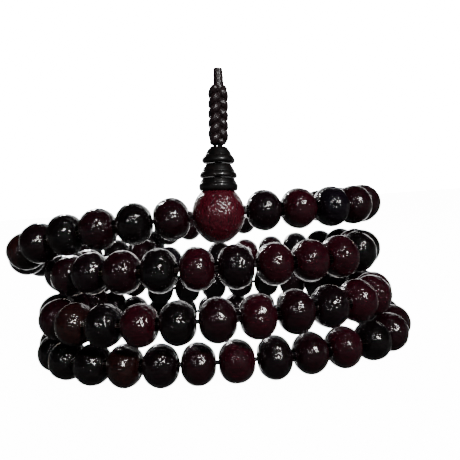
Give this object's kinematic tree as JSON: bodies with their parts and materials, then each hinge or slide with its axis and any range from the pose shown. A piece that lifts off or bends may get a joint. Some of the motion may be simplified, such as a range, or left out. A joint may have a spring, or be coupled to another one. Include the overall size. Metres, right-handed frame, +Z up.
{
  "type": "mala prayer beads",
  "caption": "Loop of lacquered dark wooden beads wound as a loose coil, with a large red guru bead carrying turned spacer discs and a plaited snake knot.",
  "frame": {"origin": "centre of the coil on the surface that it stands on", "axes": "+Z up, -Y towards the side with the guru bead, +X to the right seen from there"},
  "size_m": [0.0868, 0.0638, 0.0576],
  "materials": {
    "bead_wood": "glossy lacquer over dark stained wood",
    "guru_wood": "glossy lacquer over wine red stained wood",
    "spacer_wood": "satin, near black",
    "cord_thread": "shiny plaited thread, dark brown"
  },
  "bodies": {
    "bottom_turn": {"bottom_turn_beads_1": "bead_wood", "bottom_turn_beads_2": "bead_wood", "bottom_turn_beads_3": "bead_wood", "bottom_turn_beads_4": "bead_wood", "bottom_turn_beads_5": "bead_wood", "bottom_turn_beads_6": "bead_wood", "bottom_turn_beads_7": "bead_wood", "bottom_turn_cord": "cord_thread"},
    "third_turn": {"third_turn_beads_1": "bead_wood", "third_turn_beads_2": "bead_wood", "third_turn_beads_3": "bead_wood", "third_turn_beads_4": "bead_wood", "third_turn_beads_5": "bead_wood", "third_turn_beads_6": "bead_wood", "third_turn_cord": "cord_thread"},
    "second_turn": {"second_turn_beads_1": "bead_wood", "second_turn_beads_2": "bead_wood", "second_turn_beads_3": "bead_wood", "second_turn_beads_4": "bead_wood", "second_turn_beads_5": "bead_wood", "second_turn_beads_6": "bead_wood", "second_turn_cord": "cord_thread"},
    "top_turn": {"top_turn_cord": "cord_thread"},
    "guru": {"guru_bead": "guru_wood", "stem_cord": "cord_thread"},
    "spacer_lower": {"spacer_disc_lower": "spacer_wood"},
    "spacer_middle": {"spacer_disc_middle": "spacer_wood"},
    "spacer_upper": {"spacer_disc_upper": "spacer_wood"},
    "tail": {"snake_knot": "cord_thread", "trimmed_cord_end": "cord_thread"},
    "top_bead_01": {"top_bead_01": "bead_wood"},
    "top_bead_02": {"top_bead_02": "bead_wood"},
    "top_bead_03": {"top_bead_03": "bead_wood"},
    "top_bead_04": {"top_bead_04": "bead_wood"},
    "top_bead_05": {"top_bead_05": "bead_wood"},
    "top_bead_06": {"top_bead_06": "bead_wood"},
    "top_bead_07": {"top_bead_07": "bead_wood"},
    "top_bead_08": {"top_bead_08": "bead_wood"},
    "top_bead_09": {"top_bead_09": "bead_wood"},
    "top_bead_10": {"top_bead_10": "bead_wood"},
    "top_bead_11": {"top_bead_11": "bead_wood"},
    "top_bead_12": {"top_bead_12": "bead_wood"},
    "top_bead_13": {"top_bead_13": "bead_wood"},
    "top_bead_14": {"top_bead_14": "bead_wood"},
    "top_bead_15": {"top_bead_15": "bead_wood"},
    "top_bead_16": {"top_bead_16": "bead_wood"},
    "top_bead_17": {"top_bead_17": "bead_wood"},
    "top_bead_18": {"top_bead_18": "bead_wood"},
    "top_bead_19": {"top_bead_19": "bead_wood"},
    "top_bead_20": {"top_bead_20": "bead_wood"},
    "top_bead_21": {"top_bead_21": "bead_wood"},
    "top_bead_22": {"top_bead_22": "bead_wood"},
    "top_bead_23": {"top_bead_23": "bead_wood"}
  },
  "joints": [
    {"name": "third_turn_lift", "type": "hinge", "parent": "bottom_turn", "child": "third_turn", "pos_m": [-0.01753, 0.01529, 0.0053], "axis": [-0.9397, -0.342, 0], "range_deg": [0, 3]},
    {"name": "second_turn_lift", "type": "hinge", "parent": "third_turn", "child": "second_turn", "pos_m": [-0.01652, 0.01271, 0.01303], "axis": [-0.9397, -0.342, 0], "range_deg": [0, 3]},
    {"name": "top_turn_lift", "type": "hinge", "parent": "second_turn", "child": "top_turn", "pos_m": [-0.02096, 0.01683, 0.02089], "axis": [-0.9397, -0.342, 0], "range_deg": [0, 3]},
    {"name": "guru_nod", "type": "hinge", "parent": "top_turn", "child": "guru", "pos_m": [0.0029, -0.02087, 0.03086], "axis": [0.9982, 0.0558, 0.0237], "range_deg": [-15, 15]},
    {"name": "spacer_lower_spin", "type": "hinge", "parent": "guru", "child": "spacer_lower", "pos_m": [0.00339, -0.0205, 0.03783], "axis": [0.0697, 0.0522, 0.9962], "continuous": true},
    {"name": "spacer_middle_spin", "type": "hinge", "parent": "guru", "child": "spacer_middle", "pos_m": [0.00339, -0.0205, 0.03783], "axis": [0.0697, 0.0522, 0.9962], "continuous": true},
    {"name": "spacer_upper_spin", "type": "hinge", "parent": "guru", "child": "spacer_upper", "pos_m": [0.00339, -0.0205, 0.03783], "axis": [0.0697, 0.0522, 0.9962], "continuous": true},
    {"name": "tail_sway", "type": "hinge", "parent": "guru", "child": "tail", "pos_m": [0.00388, -0.02013, 0.04485], "axis": [-0.0546, 0.9973, -0.0484], "range_deg": [-12, 12]},
    {"name": "wood_bead_01_spin", "type": "hinge", "parent": "top_turn", "child": "top_bead_01", "pos_m": [-0.02442, 0.0166, 0.0211], "axis": [-0.9747, -0.2223, 0.0228], "continuous": true},
    {"name": "wood_bead_02_spin", "type": "hinge", "parent": "top_turn", "child": "top_bead_02", "pos_m": [-0.03092, 0.01399, 0.02099], "axis": [-0.8481, -0.5296, 0.0193], "continuous": true},
    {"name": "wood_bead_03_spin", "type": "hinge", "parent": "top_turn", "child": "top_bead_03", "pos_m": [-0.03601, 0.00936, 0.02137], "axis": [-0.5981, -0.7951, 0.1011], "continuous": true},
    {"name": "wood_bead_04_spin", "type": "hinge", "parent": "top_turn", "child": "top_bead_04", "pos_m": [-0.03905, 0.00318, 0.02237], "axis": [-0.251, -0.9501, 0.1854], "continuous": true},
    {"name": "wood_bead_05_spin", "type": "hinge", "parent": "top_turn", "child": "top_bead_05", "pos_m": [-0.03942, -0.00354, 0.02389], "axis": [0.1446, -0.9583, 0.2465], "continuous": true},
    {"name": "wood_bead_06_spin", "type": "hinge", "parent": "top_turn", "child": "top_bead_06", "pos_m": [-0.0371, -0.0097, 0.02568], "axis": [0.5161, -0.8144, 0.2652], "continuous": true},
    {"name": "wood_bead_07_spin", "type": "hinge", "parent": "top_turn", "child": "top_bead_07", "pos_m": [-0.03243, -0.01456, 0.02748], "axis": [0.7917, -0.5644, 0.2335], "continuous": true},
    {"name": "wood_bead_08_spin", "type": "hinge", "parent": "top_turn", "child": "top_bead_08", "pos_m": [-0.02628, -0.01741, 0.02887], "axis": [0.9264, -0.3446, 0.1515], "continuous": true},
    {"name": "wood_bead_09_spin", "type": "hinge", "parent": "top_turn", "child": "top_bead_09", "pos_m": [-0.01966, -0.01931, 0.02957], "axis": [0.9713, -0.22, 0.0908], "continuous": true},
    {"name": "wood_bead_10_spin", "type": "hinge", "parent": "top_turn", "child": "top_bead_10", "pos_m": [-0.01274, -0.02048, 0.03014], "axis": [0.991, -0.1158, 0.067], "continuous": true},
    {"name": "wood_bead_11_spin", "type": "hinge", "parent": "top_turn", "child": "top_bead_11", "pos_m": [-0.00575, -0.02094, 0.03051], "axis": [0.9986, -0.0249, 0.0461], "continuous": true},
    {"name": "wood_bead_12_spin", "type": "hinge", "parent": "top_turn", "child": "top_bead_12", "pos_m": [0.01139, -0.01998, 0.03091], "axis": [0.9873, 0.1591, -0.0029], "continuous": true},
    {"name": "wood_bead_13_spin", "type": "hinge", "parent": "top_turn", "child": "top_bead_13", "pos_m": [0.0181, -0.01842, 0.03082], "axis": [0.9655, 0.2597, -0.0189], "continuous": true},
    {"name": "wood_bead_14_spin", "type": "hinge", "parent": "top_turn", "child": "top_bead_14", "pos_m": [0.02478, -0.01638, 0.03065], "axis": [0.8912, 0.4532, -0.0165], "continuous": true},
    {"name": "wood_bead_15_spin", "type": "hinge", "parent": "top_turn", "child": "top_bead_15", "pos_m": [0.03034, -0.0122, 0.03059], "axis": [0.6713, 0.7411, -0.0059], "continuous": true},
    {"name": "wood_bead_16_spin", "type": "hinge", "parent": "top_turn", "child": "top_bead_16", "pos_m": [0.03394, -0.00627, 0.03057], "axis": [0.3347, 0.9423, -0.0036], "continuous": true},
    {"name": "wood_bead_17_spin", "type": "hinge", "parent": "top_turn", "child": "top_bead_17", "pos_m": [0.03492, 0.0007, 0.03054], "axis": [-0.0694, 0.9975, -0.0102], "continuous": true},
    {"name": "wood_bead_18_spin", "type": "hinge", "parent": "top_turn", "child": "top_bead_18", "pos_m": [0.03298, 0.00755, 0.03043], "axis": [-0.4574, 0.8888, -0.0278], "continuous": true},
    {"name": "wood_bead_19_spin", "type": "hinge", "parent": "top_turn", "child": "top_bead_19", "pos_m": [0.02858, 0.013, 0.03016], "axis": [-0.7595, 0.6478, -0.059], "continuous": true},
    {"name": "wood_bead_20_spin", "type": "hinge", "parent": "top_turn", "child": "top_bead_20", "pos_m": [0.0226, 0.0164, 0.02962], "axis": [-0.9204, 0.3758, -0.1081], "continuous": true},
    {"name": "wood_bead_21_spin", "type": "hinge", "parent": "top_turn", "child": "top_bead_21", "pos_m": [0.01598, 0.01815, 0.02868], "axis": [-0.9617, 0.2366, -0.1383], "continuous": true},
    {"name": "wood_bead_22_spin", "type": "hinge", "parent": "top_turn", "child": "top_bead_22", "pos_m": [0.00942, 0.01965, 0.02773], "axis": [-0.9841, 0.0841, -0.1565], "continuous": true},
    {"name": "wood_bead_23_spin", "type": "hinge", "parent": "top_turn", "child": "top_bead_23", "pos_m": [0.00271, 0.01928, 0.02656], "axis": [-0.996, 0.0753, -0.0472], "continuous": true}
  ]
}
